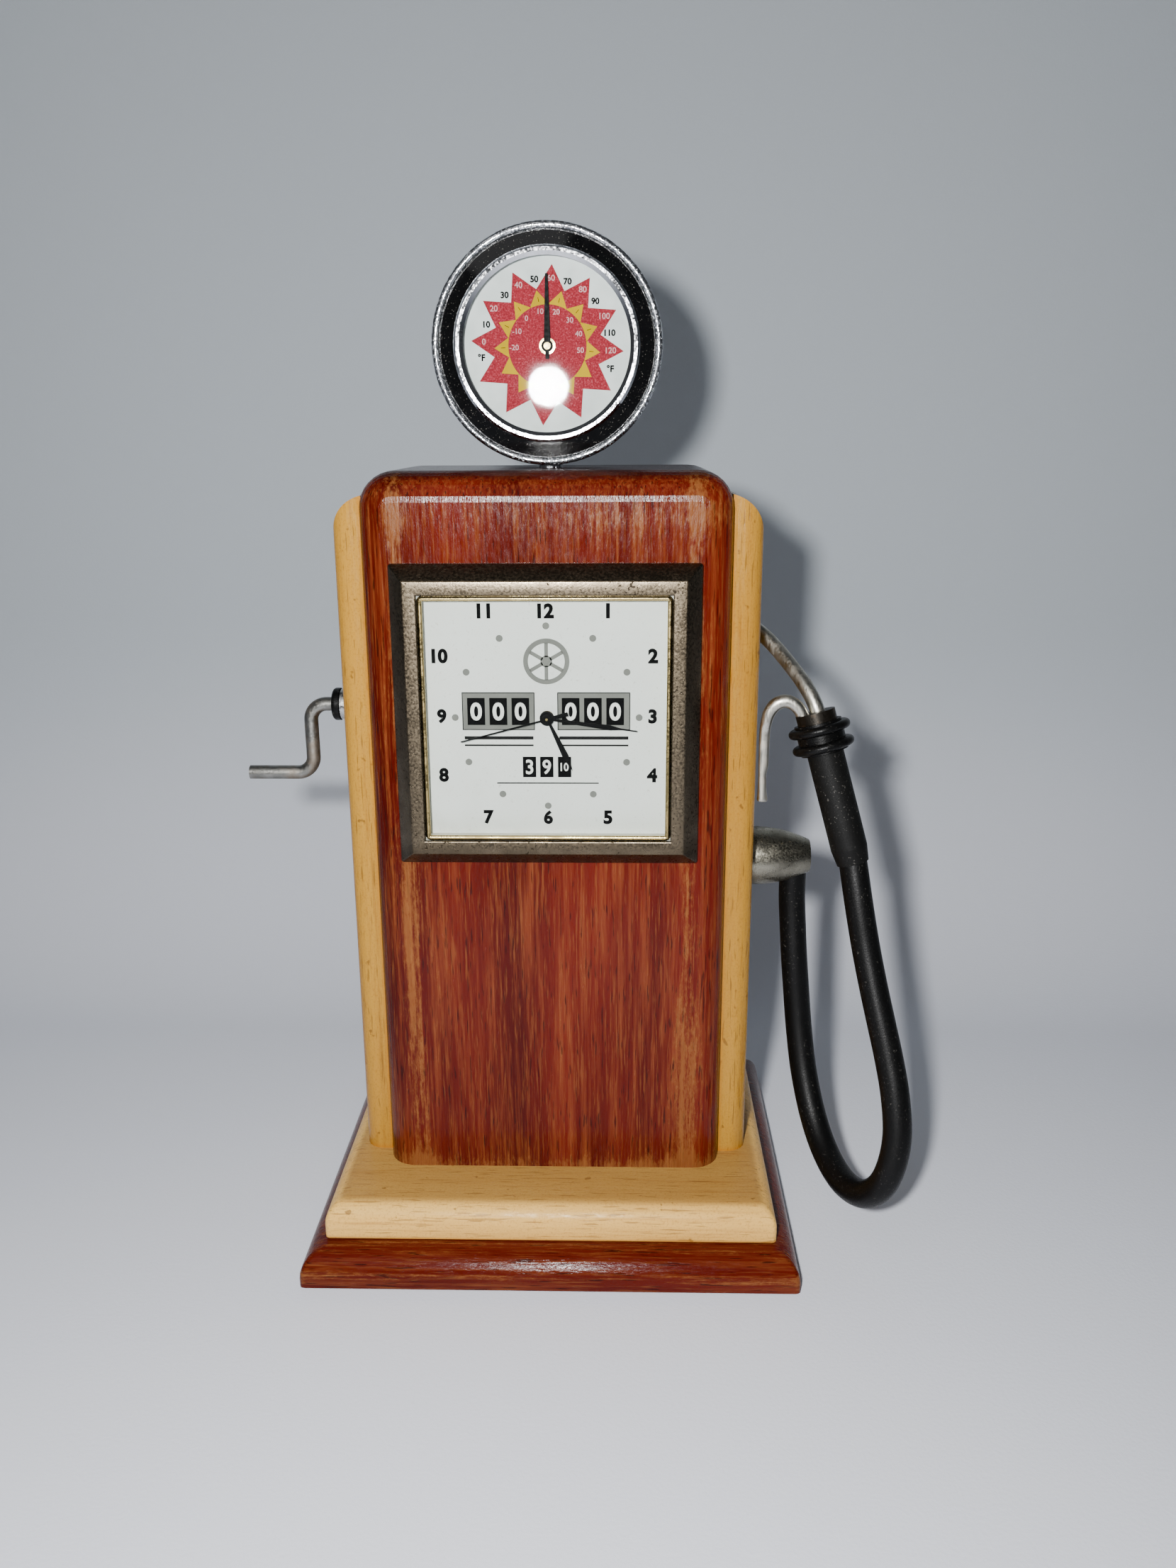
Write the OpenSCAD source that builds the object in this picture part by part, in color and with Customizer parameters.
// Desk clock built like an old service station fuel pump: wooden body, square clock insert,
// round bimetal thermometer on top, a turning crank on the left and a nozzle with its hose on the right.
// Millimetres. +Z up, the dial faces -Y, and the origin is the middle of the base's underside.

/* [Base] */
// Width of the base plate
base_w = 144.4; // [136:0.2:156]
// Depth of the base plate
base_d = 125.5; // [118:0.5:134]
// Thickness of the base plate
base_t = 10.6; // [9:0.2:13]
// Roundover along the base plate's top edge
base_round = 7.5; // [4:0.5:9]
// Width of the plinth
plinth_w = 131.9; // [126:0.1:134]
// Depth of the plinth
plinth_d = 108.1; // [100:0.1:112]
// Thickness of the plinth
plinth_t = 10.8; // [9:0.2:13]
// Roundover along the plinth's top edge
plinth_round = 6; // [3:0.5:8]

/* [Pump body] */
// Width of the red centre block
block_w = 101.1; // [96:0.1:106]
// Depth of the red centre block
block_d = 64; // [58:1:70]
// Height of the red centre block's top above the standing surface
block_top = 228.3; // [222:0.1:236]
// Radius of the block's two top corners, seen from the front
block_corner = 10; // [9:0.5:20]
// Roundover of the block's long edges
block_round = 8; // [4:0.5:9]
// Thickness of each side board
board_t = 8.9; // [7:0.1:12]
// Depth of each side board
board_d = 45.2; // [38:0.2:52]
// Height of the side boards' top above the standing surface
board_top = 222; // [214:1:226]
// Radius of the board's outer top corner
board_corner = 11.5; // [5:0.5:12]
// Roundover of the board's outer long edges
board_round = 5.5; // [3:0.5:7]

/* [Clock insert] */
// Height of the hands' arbor above the standing surface
clock_z = 162.5; // [158:0.5:168]
// Side of the square bezel
bezel_side = 84; // [80:0.5:90]
// How far the bezel stands out of the wood
bezel_t = 6.6; // [6.4:0.1:8]
// Width of the bezel's sloping outer edge
bezel_slope = 4.2; // [2:0.1:5]
// Side of the bezel's window
window_side = 68.2; // [66:0.1:70]
// Side of the dial seen through the inner lip
lip_side = 65.2; // [62:0.1:66]
// Diameter of the insert's round case
case_d = 71; // [66:0.5:72]
// Diameter of the bored pocket that takes the insert
pocket_d = 76; // [75:0.5:78]
// Depth of the bored pocket
pocket_depth = 24; // [23:1:36]

/* [Hands] */
// Hour hand's angle at rest, clockwise from twelve
hour_angle = 155; // [0:5:355]
// Minute hand's angle at rest, clockwise from twelve
minute_angle = 98; // [0:1:359]
// Second hand's angle at rest, clockwise from twelve
second_angle = 255; // [0:1:359]
// Reach of the hour hand
hour_reach = 16.5; // [14:0.5:20]
// Reach of the minute hand
minute_reach = 25; // [22:0.5:28]
// Reach of the second hand
second_reach = 24.5; // [20:0.5:27]

/* [Thermometer] */
// Height of the thermometer's centre above the standing surface
thermo_z = 260.6; // [259.6:0.1:264]
// Diameter of the chrome rim
rim_d = 62.9; // [60:0.1:63]
// Depth of the thermometer's round housing
housing_t = 21; // [18:1:26]
// Diameter of the inner chrome bezel
thermo_bezel_d = 50.6; // [48:0.1:54]
// Diameter of the visible dial
thermo_dial_d = 45.3; // [42:0.1:46]

/* [Crank] */
// Diameter of the crank's bent rod
crank_rod_d = 4.2; // [3:0.1:5]
// Height of the crank's axis above the standing surface
crank_z = 159.2; // [150:0.5:166]
// Throw of the crank, from its axis to the handle
crank_throw = 21.4; // [16:0.2:26]

/* [Hose and nozzle] */
// Outer diameter of the hose
hose_d = 8.2; // [7:0.1:8.4]
// Height of the hose fitting's axis above the standing surface
fitting_z = 111.4; // [108:0.2:114]
// Diameter of the hose fitting at the wood
fitting_d = 18; // [16:0.5:20]
// Diameter of the nozzle's sleeve
sleeve_d = 10.5; // [10:0.1:12]
// Diameter of the spout's bent rod
spout_d = 4.4; // [3:0.1:5]
// Diameter of the lever's bent rod
lever_d = 3.8; // [2:0.1:4.2]

/* [Hidden] */

smooth = 64;
soft = 32;
cut = 0.5;

plinth_top = base_t + plinth_t;
block_front = block_d / 2;
board_x = block_w / 2 + board_t;

screw_x = 34;
screw_y = 20;
screw_r = 1.9;
screw_head_r = 4;
screw_head_t = 4;
screw_len = 30;

// Distances in front of the block's middle plane, for everything on the clock's arbor
back_plane = block_front;
bezel_front = back_plane + bezel_t;
wall_front = back_plane + 0.6;
dial_front = wall_front + 0.4;
lens_back = bezel_front - 2.2;
lens_t = 1;
lip_front = bezel_front - 0.4;
case_depth = 15.5;
case_wall = 1.2;
frame_side = 72;
case_rear = back_plane - case_depth;
lid_t = 1.4;
band_rear = 17.5;
band_h = 12;
knob_front = case_rear - lid_t - 0.6;
knob_shaft_r = 0.7;
plate_t = 1;
move_front = back_plane;
move_rear = back_plane - 13.4;
move_side = 46;
cavity_rear = move_rear + 1.2;
wheel_t = 0.8;
hour_plane = 29.9;
motion_plane = 27.8;
cannon_plane = motion_plane - 0.3;
centre_plane = 25.8;
centre_hub_r = 1.1;
third_plane = 23.8;
second_plane = 21.8;
inter_plane = 20.2;
magnet_plane = 27.2;
pivot_r = 0.35;
run = 0.05;

arbor_r = 0.35;
minute_tube_r = 0.8;
hour_tube_r = 1.2;
bushing_r = 1.9;
hand_t = 0.3;
hour_hand_plane = dial_front + 0.7;
minute_hand_plane = dial_front + 1.6;
second_hand_plane = dial_front + 2.4;

// Tooth counts of the going train and the hand-setting train
centre_teeth = 64;
third_teeth = 60;
third_leaves = 8;
second_teeth = 60;
second_leaves = 8;
inter_teeth = 60;
inter_leaves = 10;
rotor_leaves = 12;
cannon_leaves = 12;
motion_teeth = 36;
motion_leaves = 10;
hour_teeth = 40;
knob_leaves = 18;

// Module of each mesh, and the centre distances that follow from it
centre_mod = 0.2;
second_mod = 0.21;
inter_mod = 0.2;
cannon_mod = 0.25;
hour_mod = 0.24;
third_dist = centre_mod * (centre_teeth + third_leaves) / 2;
third_pinion_mod = third_dist * 2 / (third_teeth + second_leaves);
inter_dist = second_mod * (second_teeth + inter_leaves) / 2;
rotor_dist = inter_mod * (inter_teeth + rotor_leaves) / 2;
motion_dist = cannon_mod * (cannon_leaves + motion_teeth) / 2;
knob_dist = cannon_mod * (motion_teeth + knob_leaves) / 2;
third_dir = 200;
inter_dir = 300;
motion_dir = 90;
third_at = polar(third_dist, third_dir);
inter_at = polar(inter_dist, inter_dir);
rotor_at = inter_at + polar(rotor_dist, inter_dir);
motion_at = polar(motion_dist, motion_dir);
knob_at = motion_at + polar(knob_dist, motion_dir);
battery_at = [12.5, 12.5];
battery_r = 5.8;
battery_t = 5.2;
battery_rear = 16.8;
coil_len = 9.6;

// Thermometer stack, as distances in front of the block's middle plane
housing_front = housing_t / 2;
rim_t = 3.4;
surround_t = 1.6;
thermo_dial_plane = housing_front - 3.4;
thermo_lens_plane = housing_front + 0.2;
needle_plane = thermo_dial_plane + 1.2;
insert_bore_d = thermo_bezel_d - 2.6;
stem_d = 7;
stem_sunk = 12;
arbor_hole_r = 1.1;
needle_reach = 18.4;
coil_h = 4;
coil_steps = 60;
coil_turn = 24;
coil_strip = 0.4;

crank_arm_x = -73.6;
crank_end_x = -93.4;
crank_bend = 5;
crank_inner_x = -46;
grommet_x = -63.8;
grommet_t = 2.3;
grommet_edge = 1.1;
grommet_ring_r = 4.9;
bushing_shank_r = 3.4;
bushing_flange_r = 4.6;

fitting_len = 19.2;
fitting_straight = 2;
fitting_curve = 39;
fitting_pin_r = 2.5;

// Nozzle: its foot is the sleeve's lower end, and its axis leans towards the body and backwards
nozzle_foot = [87.4, -25.2, 118];
nozzle_lean = [-9, -15.3, 0];
sleeve_len = 33.2;
collar_top = 45;
collar_r = 5.7;
grommet_r = 8.9;
grommet_neck_r = 6.8;
grommet_h = 8.8;
blade_t = 1.9;
blade_w = 3.1;
lever_y = -18;

// Middle line of the hose, from inside the fitting down and round to inside the sleeve
HOSE_ROUTE = [
    [74, 0, 107], [74, 0, 98], [74.5, -1, 89], [75, -2.5, 80], [76, -4, 68],
    [77, -6.5, 56], [78.5, -11, 43], [81, -18, 31], [84, -27, 23.5], [87.5, -37, 20.5],
    [91.5, -45.5, 22], [95, -51.5, 28], [97.5, -53.5, 36], [99, -52, 45.5], [98.5, -48.5, 56],
    [97, -44.5, 65.5], [95, -40.5, 75], [93, -36.5, 84.5], [91, -32.5, 95], [89, -29, 107],
    [87.4, -25.5, 118], [86.2, -24.5, 122.5]
];
// Middle line of the spout, from its hole in the side board to the collar
SPOUT_ROUTE = [
    [52, 4, 186], [57, 2.5, 183.5], [62, 0, 180.3], [66, -4, 176.5],
    [69.5, -9, 172.5], [72.8, -14, 168.2], [75.2, -17, 164], [76.6, -18.3, 160.2], [77.6, -19, 156]
];
// Middle line of the lever, from the collar over its peak and down beside the board
LEVER_ROUTE = [
    [73, -18.8, 157], [72, -18.8, 160.2], [70.2, -18.6, 162.7], [67.5, -18.4, 164],
    [64.7, -18.2, 163.2], [62.8, -18, 160.8], [62, -18, 157.4]
];

function polar(r, a) = [r * cos(a), r * sin(a)];
function unit(v) = v / norm(v);
function coil_r(i) = 1.35 + i * 0.11;
function last(list) = len(list) - 1;

// Direction of travel at each point of a route
function heading(route, i) =
    unit(route[min(i + 1, last(route))] - route[max(i - 1, 0)]);

// A direction square to d that changes smoothly along a route lying mostly upright
function side_of(d, hint) = unit(cross(d, hint));

function ring(centre, d, hint, r, n) =
    let (u = side_of(d, hint), v = cross(d, u))
    [for (k = [0 : n - 1]) centre + r * cos(360 * k / n) * u + r * sin(360 * k / n) * v];

function tube_points(route, r, n, hint) =
    [for (i = [0 : last(route)]) each ring(route[i], heading(route, i), hint, r, n)];

function tube_faces(rings, n) = concat(
    [[for (k = [0 : n - 1]) k]],
    [for (i = [0 : rings - 2], k = [0 : n - 1])
        [i * n + k, (i + 1) * n + k, (i + 1) * n + (k + 1) % n]],
    [for (i = [0 : rings - 2], k = [0 : n - 1])
        [i * n + k, (i + 1) * n + (k + 1) % n, i * n + (k + 1) % n]],
    [[for (k = [n - 1 : -1 : 0]) (rings - 1) * n + k]]
);

// A round tube swept along a route of hand-set points
module tube(route, d, n, hint) {
    polyhedron(
        points = tube_points(route, d / 2, n, hint),
        faces = tube_faces(len(route), n),
        convexity = 8
    );
}

// A flat-bottomed outline whose two top corners are round
module arched(w, h, r) {
    translate([-w / 2, 0]) square([w, h - r]);
    translate([-w / 2 + r, 0]) square([w - 2 * r, h]);
    intersection() {
        translate([-w / 2, 0]) square([w, h]);
        for (s = [-1, 1]) translate([s * (w / 2 - r), h - r]) circle(r, $fn = smooth);
    }
}

// A moulded board: both top edges rounded along its length and its width, meeting in mitres
module moulded_board(w, d, t, r) {
    intersection() {
        rotate([90, 0, 0]) linear_extrude(height = d + 2 * cut, center = true) arched(w, t, r);
        rotate([90, 0, 90]) linear_extrude(height = w + 2 * cut, center = true) arched(d, t, r);
    }
}

// Puts a piece drawn in the dial's plane at the clock, its height counted towards the front
module at_clock() {
    translate([0, 0, clock_z]) rotate([90, 0, 0]) children();
}

module at_thermo() {
    translate([0, 0, thermo_z]) rotate([90, 0, 0]) children();
}

// Moves a piece from the hands' arbor to another arbor in the movement
module at_arbor(place) {
    translate([place[0], place[1], 0]) children();
}

// A disc or tube on an arbor: from height a to height b
module disc(r, a, b) {
    translate([0, 0, a]) cylinder(r = r, h = b - a, $fn = smooth);
}

module washer(outer, inner, a, b) {
    difference() {
        disc(outer, a, b);
        disc(inner, a - cut, b + cut);
    }
}

module square_plate(side, a, b) {
    translate([-side / 2, -side / 2, a]) cube([side, side, b - a]);
}

// Outline of a toothed wheel, with one tooth centred on the direction phase
module gear_outline(teeth, mod, phase) {
    pitch_r = teeth * mod / 2;
    tip_r = pitch_r + 0.7 * mod;
    root_r = pitch_r - 1.05 * mod;
    step = 360 / teeth;
    polygon([for (i = [0 : teeth - 1])
        let (a = phase + i * step)
        each [polar(root_r, a - 0.27 * step), polar(tip_r, a - 0.09 * step),
              polar(tip_r, a + 0.09 * step), polar(root_r, a + 0.27 * step)]]);
}

module gear(teeth, mod, phase, a, b) {
    translate([0, 0, a]) linear_extrude(height = b - a) gear_outline(teeth, mod, phase);
}

module base_plate() {
    color([0.5, 0.13, 0.09])
    difference() {
        moulded_board(base_w, base_d, base_t, base_round);
        for (x = [-1, 1], y = [-1, 1]) translate([x * screw_x, y * screw_y, 0]) {
            translate([0, 0, -cut]) cylinder(r = screw_head_r + 0.4, h = screw_head_t + cut, $fn = smooth);
            translate([0, 0, -cut]) cylinder(r = screw_r + 0.3, h = base_t + 2 * cut, $fn = smooth);
        }
    }
}

module plinth() {
    color([0.8, 0.64, 0.39])
    difference() {
        translate([0, 0, base_t]) moulded_board(plinth_w, plinth_d, plinth_t, plinth_round);
        for (x = [-1, 1], y = [-1, 1]) translate([x * screw_x, y * screw_y, base_t - cut])
            cylinder(r = screw_r + 0.3, h = plinth_t + 2 * cut, $fn = smooth);
    }
}

module base_screws() {
    color([0.7, 0.66, 0.5])
    for (x = [-1, 1], y = [-1, 1]) translate([x * screw_x, y * screw_y, 0]) {
        translate([0, 0, screw_head_t - 2.6]) difference() {
            cylinder(r = screw_head_r, h = 2.6, $fn = smooth);
            for (a = [0, 90]) rotate([0, 0, a]) translate([-2.2, -0.45, -cut]) cube([4.4, 0.9, 1.2 + cut]);
        }
        translate([0, 0, screw_head_t]) cylinder(r = screw_r, h = screw_len - screw_head_t, $fn = smooth);
    }
}

// A round-cornered puck lying on its side, for the block's two top corners
module corner_puck(r, depth, edge) {
    rotate([90, 0, 0]) rotate_extrude($fn = soft) {
        translate([0, -depth / 2 + edge]) square([r, depth - 2 * edge]);
        translate([0, -depth / 2]) square([r - edge, depth]);
        for (s = [-1, 1]) intersection() {
            translate([r - edge, s * (depth / 2 - edge)]) circle(edge, $fn = soft);
            translate([0, -depth / 2]) square([r, depth]);
        }
    }
}

module pump_block() {
    color([0.5, 0.12, 0.08])
    difference() {
        hull() {
            for (s = [-1, 1]) translate([s * (block_w / 2 - block_corner), 0, block_top - block_corner])
                corner_puck(block_corner, block_d, block_round);
            for (x = [-1, 1], y = [-1, 1])
                translate([x * (block_w / 2 - block_round), y * (block_d / 2 - block_round), plinth_top])
                    cylinder(r = block_round, h = 1, $fn = soft);
        }
        at_clock() disc(pocket_d / 2, back_plane - pocket_depth, back_plane + cut);
        translate([0, 0, block_top - stem_sunk]) cylinder(r = stem_d / 2, h = stem_sunk + cut, $fn = smooth);
        for (x = [-1, 1], y = [-1, 1]) translate([x * screw_x, y * screw_y, plinth_top - cut])
            cylinder(r = screw_r + run, h = screw_len - plinth_top + 1 + cut, $fn = smooth);
        translate([-block_w / 2 - cut, 0, crank_z]) rotate([0, 90, 0])
            cylinder(r = crank_rod_d / 2 + run, h = 12, $fn = smooth);
    }
}

// A side board against the block's flank, on the side given by s
module side_board(s) {
    intersection() {
        translate([0, 0, plinth_top]) rotate([90, 0, 0])
            linear_extrude(height = board_d, center = true)
                arched(2 * board_x, board_top - plinth_top, board_corner);
        translate([0, 0, plinth_top]) linear_extrude(height = board_top - plinth_top)
            board_plan();
        translate([s > 0 ? block_w / 2 : -board_x - cut, -board_d, plinth_top])
            cube([board_t + cut, 2 * board_d, board_top]);
    }
}

// Plan outline across both boards, with round outer corners
module board_plan() {
    square([2 * board_x, board_d - 2 * board_round], center = true);
    square([2 * (board_x - board_round), board_d], center = true);
    for (x = [-1, 1], y = [-1, 1])
        translate([x * (board_x - board_round), y * (board_d / 2 - board_round)])
            circle(board_round, $fn = smooth);
}

module left_side_board() {
    color([0.8, 0.64, 0.39])
    difference() {
        side_board(-1);
        translate([-board_x - cut, 0, crank_z]) rotate([0, 90, 0])
            cylinder(r = bushing_shank_r, h = board_t + 2 * cut, $fn = smooth);
    }
}

module right_side_board() {
    color([0.8, 0.64, 0.39])
    difference() {
        side_board(1);
        translate([block_w / 2 - cut, 0, fitting_z]) rotate([0, 90, 0])
            cylinder(r = fitting_pin_r + 0.02, h = board_t + 2 * cut, $fn = smooth);
        tube(SPOUT_ROUTE, spout_d + 0.4, 16, [0, 1, 0]);
    }
}

module thermo_stem() {
    color([0.82, 0.83, 0.85])
    difference() {
        translate([0, 0, block_top - stem_sunk])
            cylinder(r = stem_d / 2, h = stem_sunk + thermo_z - rim_d / 2 - block_top + 3, $fn = smooth);
        at_thermo() disc(rim_d / 2 - 1, -housing_t, housing_t);
    }
}

module thermo_housing() {
    color([0.05, 0.05, 0.05])
    at_thermo() difference() {
        union() {
            disc(rim_d / 2 - 1, -housing_front, housing_front - rim_t);
            disc(rim_d / 2 - 2.12, housing_front - rim_t, housing_front - surround_t);
        }
        disc(insert_bore_d / 2, -housing_front - cut, housing_front + cut);
    }
}

module thermo_rim() {
    color([0.82, 0.83, 0.85])
    at_thermo() rotate_extrude($fn = smooth) {
        translate([rim_d / 2 - 2.1, housing_front - rim_t]) square([2.1, rim_t - 1.05]);
        translate([rim_d / 2 - 1.05, housing_front - 1.05]) circle(1.05, $fn = soft);
    }
}

module thermo_surround() {
    color([0.04, 0.04, 0.045])
    at_thermo() rotate_extrude($fn = smooth)
        polygon([[insert_bore_d / 2, housing_front - surround_t],
                 [rim_d / 2 - 2.15, housing_front - surround_t],
                 [rim_d / 2 - 2.15, housing_front - 1.2],
                 [thermo_bezel_d / 2 - 0.2, housing_front - 0.3],
                 [insert_bore_d / 2, housing_front - 0.3]]);
}

module thermo_bezel() {
    color([0.82, 0.83, 0.85])
    at_thermo() rotate_extrude($fn = smooth)
        polygon([[thermo_dial_d / 2, thermo_lens_plane + 1],
                 [thermo_bezel_d / 2 - 1.6, housing_front + 2],
                 [thermo_bezel_d / 2 - 0.7, housing_front + 2],
                 [thermo_bezel_d / 2, housing_front + 1.2],
                 [thermo_bezel_d / 2, housing_front - 0.3],
                 [insert_bore_d / 2 - 0.1, housing_front - 0.3],
                 [insert_bore_d / 2 - 0.1, -housing_front + 2.6],
                 [insert_bore_d / 2 - 0.7, -housing_front + 2.6],
                 [insert_bore_d / 2 - 0.7, thermo_lens_plane],
                 [thermo_dial_d / 2 + 0.6, thermo_lens_plane],
                 [thermo_dial_d / 2 + 0.6, thermo_lens_plane + 1]]);
}

module thermo_lens() {
    color([0.8, 0.86, 0.9, 0.3])
    at_thermo() disc(thermo_dial_d / 2 + 0.5, thermo_lens_plane - 0.2, thermo_lens_plane + 0.9);
}

module thermo_dial() {
    color([0.86, 0.87, 0.83])
    at_thermo() washer(insert_bore_d / 2 - 0.75, arbor_hole_r, thermo_dial_plane, thermo_dial_plane + 0.4);
}

module thermo_arbor() {
    color([0.8, 0.66, 0.35])
    at_thermo() {
        disc(0.9, -housing_front + 3.8, needle_plane + 0.9);
        disc(2.2, thermo_dial_plane + 0.5, needle_plane);
    }
}

module thermo_needle() {
    color([0.03, 0.03, 0.03])
    at_thermo() translate([0, 0, needle_plane]) linear_extrude(height = 0.4) difference() {
        union() {
            circle(1.6, $fn = smooth);
            polygon([[-0.9, 1.3], [0.9, 1.3], [0.35, needle_reach], [-0.35, needle_reach]]);
            polygon([[-0.5, -3.4], [0.5, -3.4], [0.6, -1.3], [-0.6, -1.3]]);
        }
        circle(0.95, $fn = smooth);
    }
}

// Flat bimetal strip wound into a spiral, joined to the arbor at its inner end
module bimetal_coil() {
    color([0.72, 0.6, 0.42])
    at_thermo() translate([0, 0, -housing_front + 5]) linear_extrude(height = coil_h)
        polygon(concat(
            [for (i = [0 : coil_steps]) polar(coil_r(i), i * coil_turn)],
            [for (i = [coil_steps : -1 : 0]) polar(coil_r(i) - coil_strip, i * coil_turn)]
        ));
}

module coil_anchor() {
    color([0.6, 0.6, 0.6])
    at_thermo() {
        translate([coil_r(coil_steps), -0.4, -housing_front + 4.4]) cube([1.2, 1.6, coil_h + 1.2]);
        translate([0, 0, -housing_front + 3.6]) difference() {
            cylinder(r = insert_bore_d / 2 - 1, h = 0.8, $fn = smooth);
            translate([0, 0, -cut]) cylinder(r = 1, h = 0.8 + 2 * cut, $fn = smooth);
        }
    }
}

module thermo_back_cover() {
    color([0.07, 0.07, 0.07])
    at_thermo() disc(insert_bore_d / 2 - 0.05, -housing_front, -housing_front + 2.4);
}

module clock_bezel() {
    color([0.36, 0.34, 0.31])
    at_clock() difference() {
        intersection() {
            rotate([90, 0, 0]) linear_extrude(height = bezel_side + 2 * cut, center = true) bezel_section();
            rotate([90, 0, 90]) linear_extrude(height = bezel_side + 2 * cut, center = true) bezel_section();
        }
        square_plate(window_side, back_plane - cut, bezel_front + cut);
        square_plate(frame_side, back_plane - cut, lens_back + lens_t);
    }
}

// Section through the bezel: a low upright edge and a slope up to the flat face
module bezel_section() {
    polygon([[-bezel_side / 2, back_plane], [bezel_side / 2, back_plane],
             [bezel_side / 2, back_plane + 1.6], [bezel_side / 2 - bezel_slope, bezel_front],
             [-bezel_side / 2 + bezel_slope, bezel_front], [-bezel_side / 2, back_plane + 1.6]]);
}

module clock_lip() {
    color([0.76, 0.66, 0.42])
    at_clock() difference() {
        square_plate(window_side - 0.1, lens_back + lens_t + 0.02, lip_front);
        square_plate(lip_side, lens_back, bezel_front + cut);
    }
}

module clock_lens() {
    color([0.8, 0.86, 0.9, 0.25])
    at_clock() square_plate(frame_side - 0.4, lens_back, lens_back + lens_t);
}

// Square frame that holds the glass off the dial
module dial_spacer() {
    color([0.8, 0.78, 0.7])
    at_clock() difference() {
        square_plate(frame_side - 0.6, dial_front, lens_back);
        square_plate(window_side - 1.4, dial_front - cut, lens_back + cut);
    }
}

module clock_dial() {
    color([0.85, 0.86, 0.82])
    at_clock() difference() {
        square_plate(frame_side - 0.6, wall_front, dial_front);
        disc(bushing_r + run, wall_front - cut, dial_front + cut);
    }
}

module insert_case() {
    color([0.2, 0.2, 0.21])
    at_clock() difference() {
        union() {
            square_plate(frame_side - 0.5, back_plane, wall_front);
            disc(case_d / 2, case_rear, back_plane);
        }
        disc(case_d / 2 - case_wall, case_rear - cut, back_plane - 0.01);
        disc(bushing_r + run, case_rear, wall_front + cut);
    }
}

// Soft ribbed band that grips the pocket
module grip_band() {
    color([0.12, 0.12, 0.12])
    at_clock() difference() {
        union() {
            disc(pocket_d / 2 - 1.2, band_rear, band_rear + band_h);
            for (k = [0 : 3]) translate([0, 0, band_rear + k * band_h / 4])
                disc(pocket_d / 2 - 0.06, 0.6, 2);
        }
        disc(case_d / 2 + 0.02, band_rear - cut, band_rear + band_h + cut);
    }
}

module case_back() {
    color([0.14, 0.14, 0.15])
    at_clock() difference() {
        union() {
            disc(case_d / 2, case_rear - lid_t, case_rear - 0.01);
            disc(case_d / 2 - case_wall - run, case_rear - 0.01, case_rear + 1.5);
        }
        disc(case_d / 2 - case_wall - 2, case_rear, case_rear + 2);
        at_arbor(knob_at) disc(1.2, case_rear - 2 * lid_t, case_rear + 2);
        at_arbor(battery_at) disc(battery_r + 1.2, case_rear - 2 * lid_t, case_rear + 2);
    }
}

module battery_cover() {
    color([0.18, 0.18, 0.19])
    at_clock() at_arbor(battery_at) difference() {
        disc(battery_r + 1.1, case_rear - lid_t, case_rear);
        translate([-4, -0.5, case_rear - lid_t - cut]) cube([8, 1, 0.6 + cut]);
    }
}

module hand_bushing() {
    color([0.78, 0.65, 0.35])
    at_clock() washer(bushing_r, hour_tube_r + run, move_front - plate_t, dial_front + 0.3);
}

// A flat hand pointing along the clock angle a, drawn from an outline that points up
module hand(angle, plane, hub_r, bore_r) {
    at_clock() rotate([0, 0, -angle]) translate([0, 0, plane]) linear_extrude(height = hand_t) difference() {
        union() {
            circle(hub_r, $fn = smooth);
            children();
        }
        circle(bore_r, $fn = smooth);
    }
}

module hour_hand() {
    color([0.02, 0.02, 0.02])
    hand(hour_angle, hour_hand_plane, 2, hour_tube_r + 0.01)
        polygon([[-0.35, 1.6], [0.35, 1.6], [0.85, hour_reach * 0.72], [0, hour_reach],
                 [-0.85, hour_reach * 0.72]]);
}

module minute_hand() {
    color([0.02, 0.02, 0.02])
    hand(minute_angle, minute_hand_plane, 1.9, minute_tube_r + 0.01)
        polygon([[-0.3, 1.3], [0.3, 1.3], [0.7, minute_reach * 0.7], [0.2, minute_reach * 0.82],
                 [0.15, minute_reach], [-0.15, minute_reach], [-0.2, minute_reach * 0.82],
                 [-0.7, minute_reach * 0.7]]);
}

module second_hand() {
    color([0.02, 0.02, 0.02])
    hand(second_angle, second_hand_plane, 1.3, arbor_r + 0.01)
        polygon([[-0.55, -6], [0.55, -6], [0.5, -2], [0.22, 0], [0.15, second_reach],
                 [-0.15, second_reach], [-0.22, 0], [-0.5, -2]]);
}

module movement_front() {
    color([0.75, 0.75, 0.72])
    at_clock() difference() {
        union() {
            square_plate(move_side, move_front - plate_t, move_front - 0.02);
            at_arbor(motion_at) disc(pivot_r, motion_plane - 0.6, move_front - plate_t);
        }
        disc(bushing_r + run, case_rear, wall_front);
        for (p = [rotor_at, inter_at, third_at, knob_at]) at_arbor(p)
            disc(pivot_r + run, move_front - plate_t - cut, move_front + cut);
    }
}

module movement_back() {
    color([0.7, 0.7, 0.68])
    at_clock() difference() {
        square_plate(move_side, move_rear, move_front - plate_t - 0.02);
        square_plate(move_side - 2, cavity_rear, move_front);
        disc(arbor_r + run, move_rear - cut, cavity_rear + cut);
        for (p = [rotor_at, inter_at, third_at]) at_arbor(p)
            disc(pivot_r + run, move_rear - cut, cavity_rear + cut);
        at_arbor(knob_at) disc(knob_shaft_r + run, move_rear - cut, cavity_rear + cut);
        at_arbor(battery_at) disc(battery_r + 0.5, move_rear - cut, cavity_rear + cut);
    }
}

module hour_wheel() {
    color([0.85, 0.8, 0.6])
    at_clock() difference() {
        union() {
            gear(hour_teeth, hour_mod, motion_dir, hour_plane, hour_plane + wheel_t);
            disc(hour_tube_r, hour_plane - 0.3, hour_hand_plane + hand_t + 0.1);
        }
        disc(minute_tube_r + run, hour_plane - 1, hour_hand_plane + 1);
    }
}

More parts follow.
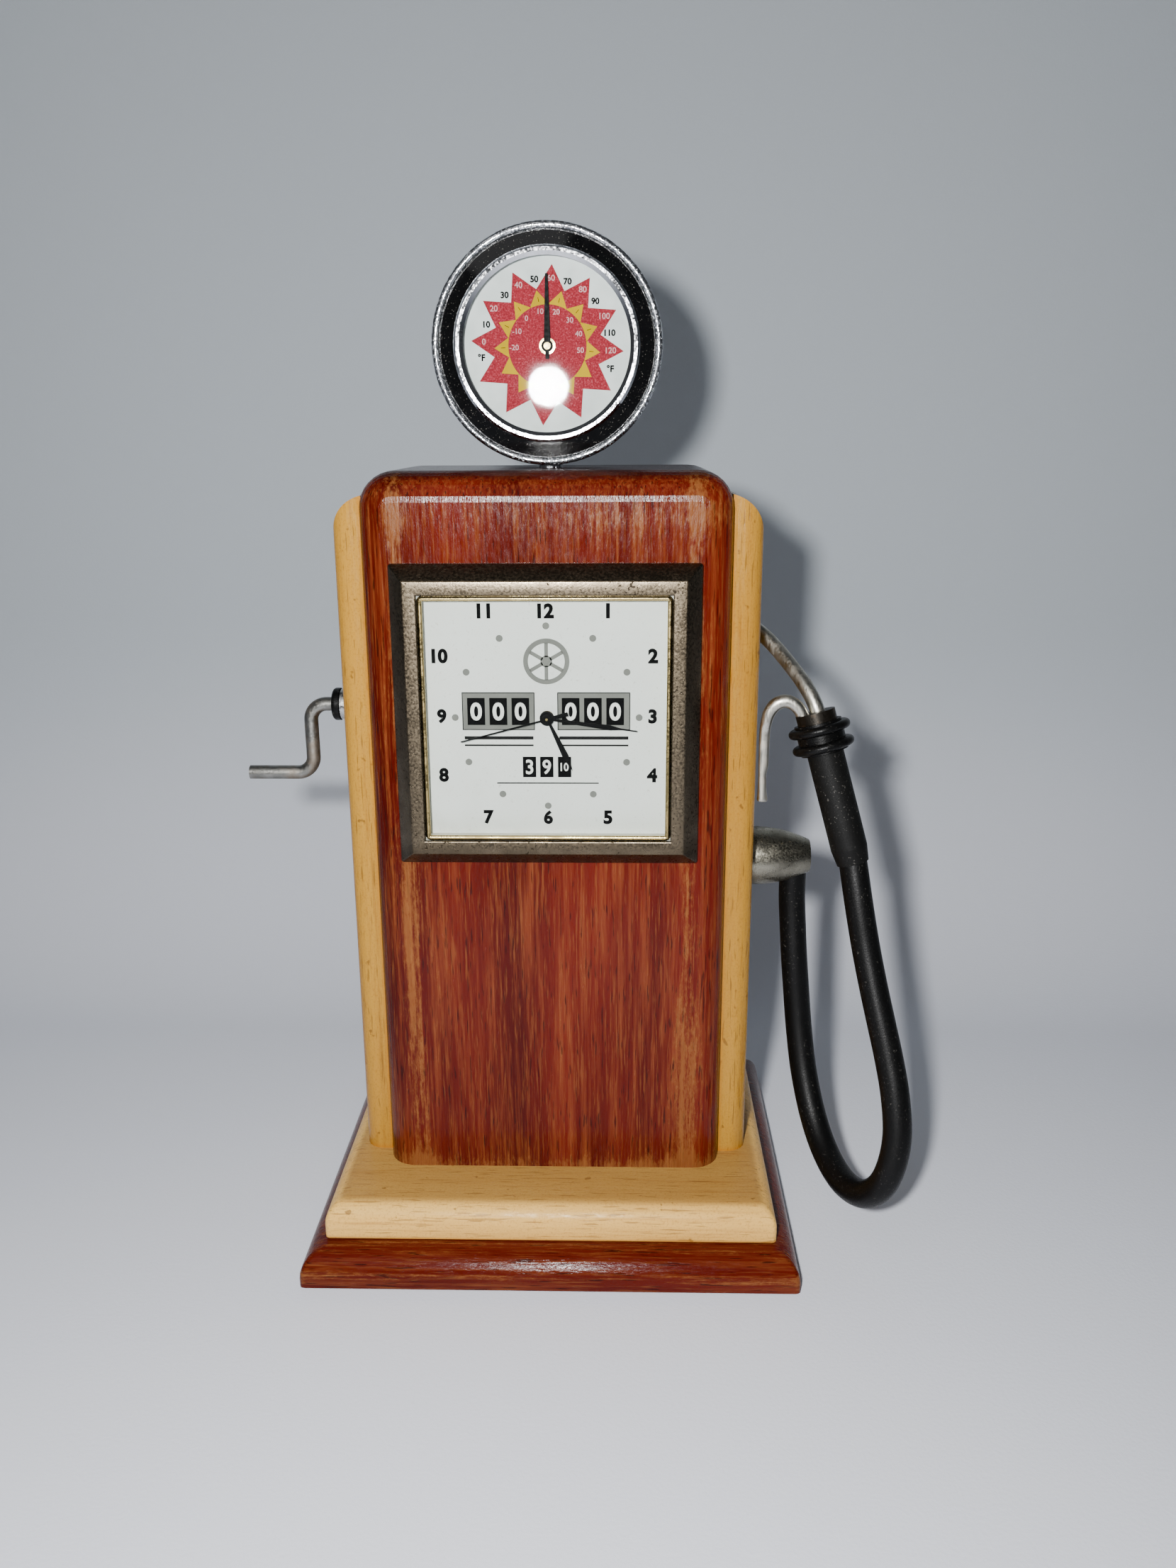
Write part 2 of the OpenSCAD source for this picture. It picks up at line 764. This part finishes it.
// Pinion and tube that carry the minute hand: they rest on the centre wheel's hub
module cannon_pinion() {
    color([0.8, 0.68, 0.4])
    at_clock() difference() {
        union() {
            gear(cannon_leaves, cannon_mod, motion_dir + 180 / cannon_leaves,
                 cannon_plane, motion_plane + 1.1);
            disc(minute_tube_r, cannon_plane, minute_hand_plane + hand_t + 0.1);
        }
        disc(arbor_r + run, centre_plane, minute_hand_plane + 1);
    }
}

// Turned by the third wheel, it drives the cannon pinion through the friction of its hub
module centre_wheel() {
    color([0.8, 0.68, 0.4])
    at_clock() difference() {
        union() {
            gear(centre_teeth, centre_mod, third_dir, centre_plane, centre_plane + wheel_t);
            disc(centre_hub_r, centre_plane - 0.4, cannon_plane - run);
        }
        disc(arbor_r + run, centre_plane - 1, cannon_plane);
    }
}

module motion_wheel() {
    color([0.85, 0.8, 0.6])
    at_clock() at_arbor(motion_at) difference() {
        union() {
            gear(motion_teeth, cannon_mod, motion_dir, motion_plane, motion_plane + wheel_t);
            gear(motion_leaves, hour_mod, motion_dir + 180 + 180 / motion_leaves,
                 motion_plane + wheel_t - 0.01, hour_plane + wheel_t + 0.1);
        }
        disc(pivot_r + run, motion_plane - cut, move_front);
    }
}

module third_wheel() {
    color([0.8, 0.68, 0.4])
    at_clock() at_arbor(third_at) {
        gear(third_teeth, third_pinion_mod, third_dir + 180, third_plane, third_plane + wheel_t);
        gear(third_leaves, centre_mod, third_dir + 180 + 180 / third_leaves,
             third_plane + wheel_t, centre_plane + 1);
        disc(pivot_r, cavity_rear - 0.8, third_plane);
        disc(pivot_r, centre_plane + 1, move_front - 0.4);
    }
}

module second_wheel() {
    color([0.8, 0.68, 0.4])
    at_clock() {
        gear(second_teeth, second_mod, inter_dir, second_plane, second_plane + wheel_t);
        gear(second_leaves, third_pinion_mod, third_dir + 180 / second_leaves,
             second_plane + wheel_t, third_plane + 1);
        disc(arbor_r, cavity_rear - 0.8, second_plane);
        disc(arbor_r, third_plane + 1, second_hand_plane + hand_t + 0.1);
    }
}

module intermediate_wheel() {
    color([0.85, 0.8, 0.6])
    at_clock() at_arbor(inter_at) {
        gear(inter_teeth, inter_mod, inter_dir, inter_plane, inter_plane + 0.6);
        gear(inter_leaves, second_mod, inter_dir + 180 + 180 / inter_leaves,
             inter_plane + 0.6, second_plane + 1);
        disc(pivot_r, cavity_rear - 0.8, inter_plane);
        disc(pivot_r, second_plane + 1, move_front - 0.4);
    }
}

module rotor() {
    color([0.5, 0.5, 0.55])
    at_clock() at_arbor(rotor_at) {
        gear(rotor_leaves, inter_mod, inter_dir + 180 + 180 / rotor_leaves,
             inter_plane - 0.1, inter_plane + 1);
        disc(pivot_r, cavity_rear - 0.8, inter_plane - 0.1);
        disc(pivot_r, inter_plane + 1, magnet_plane);
        disc(3, magnet_plane, magnet_plane + 2);
        disc(pivot_r, magnet_plane + 2, move_front - 0.4);
    }
}

module stator() {
    color([0.6, 0.6, 0.6])
    at_clock() difference() {
        translate([0, 0, magnet_plane + 0.4]) linear_extrude(height = 1.2) {
            translate([rotor_at[0], rotor_at[1]]) circle(5, $fn = smooth);
            translate([rotor_at[0] - 18, rotor_at[1] - 3]) square([18, 6]);
            translate([rotor_at[0] - 18, -20]) square([4, 10]);
            translate([rotor_at[0] + 1, -20]) square([4, 7]);
            translate([rotor_at[0] - 18, -20]) square([23, 1.6]);
        }
        at_arbor(rotor_at) disc(3.4, 0, 40);
    }
}

module coil() {
    color([0.6, 0.3, 0.15])
    at_clock() translate([rotor_at[0] - 13.5, -19.2, magnet_plane + 1]) rotate([0, 90, 0]) difference() {
        cylinder(r = 2.4, h = coil_len, $fn = smooth);
        translate([-0.65, -0.85, -cut]) cube([1.3, 1.7, coil_len + 2 * cut]);
    }
}

module circuit_board() {
    color([0.15, 0.35, 0.2])
    at_clock() {
        translate([-21, 6, 29]) cube([15, 14, 0.8]);
        translate([-16, 15, 27]) disc(2.4, 0.6, 2.01);
        translate([-19, 8, 27.6]) cube([7, 2.2, 1.41]);
    }
}

module battery() {
    color([0.75, 0.75, 0.76])
    at_clock() at_arbor(battery_at) {
        disc(battery_r, battery_rear, battery_rear + battery_t - 0.8);
        disc(battery_r - 1.2, battery_rear + battery_t - 0.8, battery_rear + battery_t);
    }
}

module contact_positive() {
    color([0.75, 0.75, 0.7])
    at_clock() translate([battery_at[0] + battery_r + 0.1, battery_at[1] - 2, cavity_rear + 0.05])
        cube([0.5, 4, 8.9]);
}

module contact_negative() {
    color([0.75, 0.75, 0.7])
    at_clock() translate([battery_at[0] - 2, battery_at[1] - 2, battery_rear + battery_t + 0.02])
        cube([4, 6, 0.4]);
}

module setting_knob() {
    color([0.3, 0.3, 0.32])
    at_clock() at_arbor(knob_at) {
        gear(knob_leaves, cannon_mod, motion_dir + 180 + 180 / knob_leaves,
             motion_plane - 0.1, motion_plane + 0.9);
        disc(knob_shaft_r, knob_front, motion_plane - 0.1);
        disc(pivot_r, motion_plane + 0.9, move_front - 0.4);
        difference() {
            disc(4, knob_front - 3, knob_front);
            for (k = [0 : 23]) at_arbor(polar(4, k * 15)) disc(0.25, knob_front - 4, knob_front + 1);
        }
    }
}

// Quarter bend of a round rod lying in the XZ plane, about its own centre
module rod_bend(rod_d, bend_r, from) {
    rotate([90, 0, 0]) rotate([0, 0, from]) rotate_extrude(angle = 90, $fn = smooth)
        translate([bend_r, 0]) circle(rod_d / 2, $fn = soft);
}

module rod_x(d, x0, x1, z) {
    translate([x0, 0, z]) rotate([0, 90, 0]) cylinder(r = d / 2, h = x1 - x0, $fn = soft);
}

module crank_rod() {
    color([0.62, 0.61, 0.59])
    union() {
        rod_x(crank_rod_d, crank_arm_x + crank_bend, crank_inner_x, crank_z);
        translate([crank_arm_x + crank_bend, 0, crank_z - crank_bend]) rod_bend(crank_rod_d, crank_bend, 90);
        translate([crank_arm_x, 0, crank_z - crank_throw + crank_bend])
            cylinder(r = crank_rod_d / 2, h = crank_throw - 2 * crank_bend, $fn = soft);
        translate([crank_arm_x - crank_bend, 0, crank_z - crank_throw + crank_bend])
            rod_bend(crank_rod_d, crank_bend, 270);
        rod_x(crank_rod_d, crank_end_x, crank_arm_x - crank_bend, crank_z - crank_throw);
    }
}

module crank_bushing() {
    color([0.8, 0.8, 0.8])
    difference() {
        union() {
            rod_x(2 * bushing_flange_r, grommet_x, -board_x, crank_z);
            rod_x(2 * bushing_shank_r, -board_x, -block_w / 2, crank_z);
        }
        rod_x(crank_rod_d + 2 * run, grommet_x - cut, -block_w / 2 + cut, crank_z);
    }
}

// Rubber ring pushed on the rod: it turns with the crank and keeps it from sliding in
module crank_grommet() {
    color([0.04, 0.04, 0.04])
    translate([grommet_x - 0.3, 0, crank_z]) rotate([0, -90, 0]) rotate_extrude($fn = smooth) difference() {
        union() {
            square([grommet_ring_r - grommet_edge, grommet_t]);
            square([grommet_ring_r, grommet_t - grommet_edge]);
            translate([grommet_ring_r - grommet_edge, grommet_t - grommet_edge]) circle(grommet_edge, $fn = soft);
        }
        translate([-cut, -2]) square([crank_rod_d / 2 + 0.01 + cut, grommet_t + 4]);
    }
}

module hose_fitting() {
    color([0.5, 0.49, 0.46])
    translate([board_x, 0, fitting_z]) rotate([0, 90, 0]) {
        rotate_extrude($fn = smooth) intersection() {
            square([fitting_d / 2, fitting_len]);
            translate([fitting_d / 2 - fitting_curve, fitting_straight])
                circle(fitting_curve, $fn = 4 * smooth);
        }
        translate([0, 0, -board_t]) cylinder(r = fitting_pin_r, h = board_t, $fn = smooth);
    }
}

module hose() {
    color([0.04, 0.04, 0.04])
    tube(HOSE_ROUTE, hose_d, 12, [0, 1, 0]);
}

module at_nozzle() {
    translate(nozzle_foot) rotate(nozzle_lean) children();
}

module nozzle_sleeve() {
    color([0.05, 0.05, 0.05])
    at_nozzle() rotate_extrude($fn = smooth)
        polygon([[hose_d / 2 + 0.1, 0], [hose_d / 2 + 0.5, 0], [sleeve_d / 2, 4.5],
                 [sleeve_d / 2, sleeve_len], [0, sleeve_len], [0, 8], [hose_d / 2 + 0.1, 8]]);
}

module nozzle_collar() {
    color([0.1, 0.09, 0.06])
    at_nozzle() disc(collar_r, sleeve_len, collar_top);
}

module nozzle_grommet() {
    color([0.03, 0.03, 0.03])
    at_nozzle() rotate_extrude($fn = smooth) difference() {
        union() {
            translate([0, sleeve_len]) square([grommet_neck_r, grommet_h]);
            for (k = [0, 1]) translate([0, sleeve_len + 0.6 + k * (grommet_h - 3.9)]) {
                square([grommet_r - 1.3, 2.6]);
                translate([grommet_r - 1.3, 1.3]) circle(1.3, $fn = soft);
            }
        }
        translate([-cut, sleeve_len - cut]) square([collar_r + 0.02 + cut, grommet_h + 2 * cut]);
    }
}

module nozzle_spout() {
    color([0.66, 0.65, 0.62])
    tube(SPOUT_ROUTE, spout_d, 12, [0, 1, 0]);
}

// A thin slice of the lever's hammered end, w across and t thick
module lever_slice(x, w, t, z) {
    translate([x, lever_y, z]) cube([w, t, 0.5], center = true);
}

module nozzle_lever() {
    color([0.66, 0.65, 0.62])
    union() {
        tube(LEVER_ROUTE, lever_d, 12, [0, 1, 0]);
        hull() {
            lever_slice(61.95, lever_d - 0.6, lever_d - 0.4, 157.8);
            lever_slice(61.6, blade_w, blade_t, 155);
        }
        hull() {
            lever_slice(61.6, blade_w, blade_t, 155);
            lever_slice(61.5, blade_w - 0.2, blade_t, 144.5);
        }
        hull() {
            lever_slice(61.5, blade_w - 0.2, blade_t, 144.5);
            lever_slice(61.3, blade_w - 0.8, blade_t, 142);
        }
        hull() {
            lever_slice(61.3, blade_w - 0.8, blade_t, 142);
            lever_slice(61.5, blade_w, blade_t + 0.4, 134.5);
        }
    }
}

base_plate();
plinth();
pump_block();
left_side_board();
right_side_board();
base_screws();
thermo_stem();
thermo_housing();
thermo_rim();
thermo_surround();
thermo_bezel();
thermo_lens();
thermo_dial();
thermo_needle();
thermo_arbor();
bimetal_coil();
coil_anchor();
thermo_back_cover();
clock_bezel();
clock_lip();
clock_lens();
dial_spacer();
clock_dial();
insert_case();
grip_band();
case_back();
battery_cover();
hand_bushing();
hour_hand();
minute_hand();
second_hand();
movement_front();
movement_back();
hour_wheel();
cannon_pinion();
centre_wheel();
motion_wheel();
third_wheel();
second_wheel();
intermediate_wheel();
rotor();
stator();
coil();
circuit_board();
battery();
contact_positive();
contact_negative();
setting_knob();
crank_rod();
crank_bushing();
crank_grommet();
hose_fitting();
hose();
nozzle_sleeve();
nozzle_grommet();
nozzle_collar();
nozzle_spout();
nozzle_lever();
